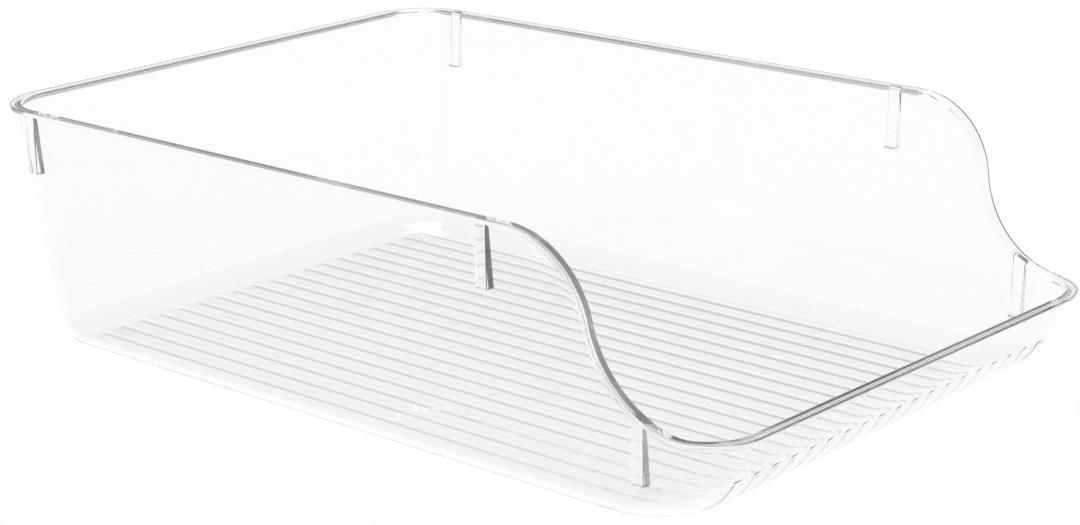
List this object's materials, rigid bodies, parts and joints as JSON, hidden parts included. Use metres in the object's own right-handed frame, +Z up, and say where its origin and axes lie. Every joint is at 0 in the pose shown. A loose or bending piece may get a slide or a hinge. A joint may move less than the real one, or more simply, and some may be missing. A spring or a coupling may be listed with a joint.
{
  "type": "refrigerator organizer bin",
  "caption": "Clear open-top storage bin for a refrigerator shelf, with a ribbed floor, side rims that sweep down to a low front lip, stacking ribs and small feet.",
  "frame": {"origin": "centre of the footprint, on the plane the feet stand on", "axes": "+Z up, +X to the right seen from the low front, -Y towards the low front lip, so the length runs along Y"},
  "size_m": [0.2172, 0.32, 0.089],
  "materials": {
    "clear_plastic": "clear, polished moulded plastic",
    "foot_front_left_plastic": "clear, slightly frosted plastic",
    "foot_front_right_plastic": "clear, slightly frosted plastic",
    "foot_rear_left_plastic": "clear, slightly frosted plastic",
    "foot_rear_right_plastic": "clear, slightly frosted plastic"
  },
  "bodies": {
    "root": {"bin_body": "clear_plastic", "foot_front_left": "foot_front_left_plastic", "foot_front_right": "foot_front_right_plastic", "foot_rear_left": "foot_rear_left_plastic", "foot_rear_right": "foot_rear_right_plastic"}
  },
  "joints": []
}
